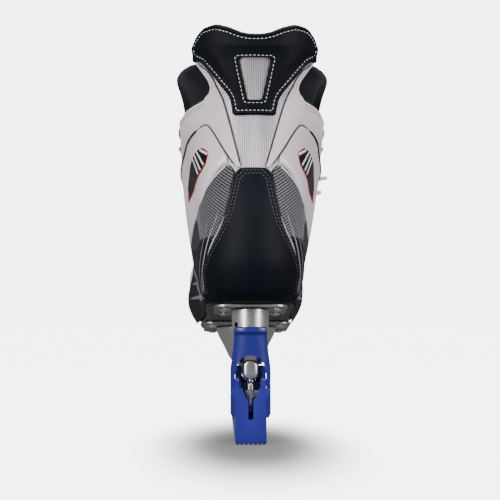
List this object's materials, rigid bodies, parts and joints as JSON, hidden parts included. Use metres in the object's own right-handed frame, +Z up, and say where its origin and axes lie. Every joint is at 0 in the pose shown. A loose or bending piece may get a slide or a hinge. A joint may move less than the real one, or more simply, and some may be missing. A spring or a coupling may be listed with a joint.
{
  "type": "hockey skate",
  "caption": "Right-foot ice hockey skate with a tube blade and tendon guard, standing in a slip-on blade guard with a hinged heel latch.",
  "frame": {"origin": "on the floor, on the middle rib of the blade guard, under the blade and halfway along the boot", "axes": "+Y from heel to toe, +X to the wearer's right, +Z up"},
  "size_m": [0.1214, 0.2857, 0.3012],
  "materials": {
    "white_leather": "semi-matt grained leather",
    "black_leather": "smooth coated leather",
    "black_mesh": "fine square mesh",
    "silver_weave": "fine silver weave",
    "black_lining": "brushed lining",
    "red_trim": "moulded trim",
    "black_plastic": "moulded, fine texture",
    "black_metal": "black enamel",
    "fibre_board": "pressed fibre board",
    "lace_cotton": "braided",
    "plated_steel": "pressed and zinc plated",
    "blade_steel": "ground",
    "blue_plastic": "moulded, satin"
  },
  "bodies": {
    "guard": {"guard_body": "blue_plastic"},
    "latch": {"guard_latch": "blue_plastic"},
    "skate": {"outsole": "black_plastic", "lasting_board": "fibre_board", "footbed": "black_lining", "toe_cap": "black_plastic", "heel_counter": "black_leather", "tendon_shell": "white_leather", "tendon_lining": "black_lining", "back_strip": "silver_weave", "tendon_pad": "black_leather", "liner": "black_lining", "tongue": "black_lining", "lace": "lace_cotton", "blade_tube": "plated_steel", "blade": "blade_steel", "tube_heel_plug": "plated_steel", "tube_toe_plug": "plated_steel", "heel_cup": "plated_steel", "sole_cup": "plated_steel", "heel_plate": "plated_steel", "sole_plate": "plated_steel", "quarter_left": "white_leather", "tendon_wing_left": "white_leather", "ankle_panel_left": "white_leather", "mesh_panel_left": "black_mesh", "side_panel_left": "black_leather", "side_vent_left": "red_trim", "side_badge_left": "silver_weave", "quarter_right": "white_leather", "tendon_wing_right": "white_leather", "ankle_panel_right": "white_leather", "mesh_panel_right": "black_mesh", "side_panel_right": "black_leather", "side_vent_right": "red_trim", "side_badge_right": "silver_weave", "eyelet_left_1": "black_metal", "eyelet_left_2": "black_metal", "eyelet_left_3": "black_metal", "eyelet_left_4": "black_metal", "eyelet_left_5": "black_metal", "eyelet_left_6": "black_metal", "eyelet_left_7": "black_metal", "eyelet_right_1": "black_metal", "eyelet_right_2": "black_metal", "eyelet_right_3": "black_metal", "eyelet_right_4": "black_metal", "eyelet_right_5": "black_metal", "eyelet_right_6": "black_metal", "eyelet_right_7": "black_metal", "heel_rivet_1": "plated_steel", "heel_rivet_2": "plated_steel", "heel_rivet_3": "plated_steel", "heel_rivet_4": "plated_steel", "sole_rivet_1": "plated_steel", "sole_rivet_2": "plated_steel", "sole_rivet_3": "plated_steel", "sole_rivet_4": "plated_steel"},
    "tongue_flap": {"tongue_top": "black_lining"}
  },
  "joints": [
    {"name": "skate_lift", "type": "slide", "parent": "guard", "child": "skate", "axis": [0, 0, 1], "range_m": [0, 0.07]},
    {"name": "latch_swing", "type": "hinge", "parent": "guard", "child": "latch", "pos_m": [0, -0.107, 0.044], "axis": [1, 0, 0], "range_deg": [0, 45]},
    {"name": "tongue_fold", "type": "hinge", "parent": "skate", "child": "tongue_flap", "pos_m": [0, -0.006, 0.2438], "axis": [-1, 0, 0], "range_deg": [0, 45], "stiffness_Nm_per_rad": 0.2}
  ]
}
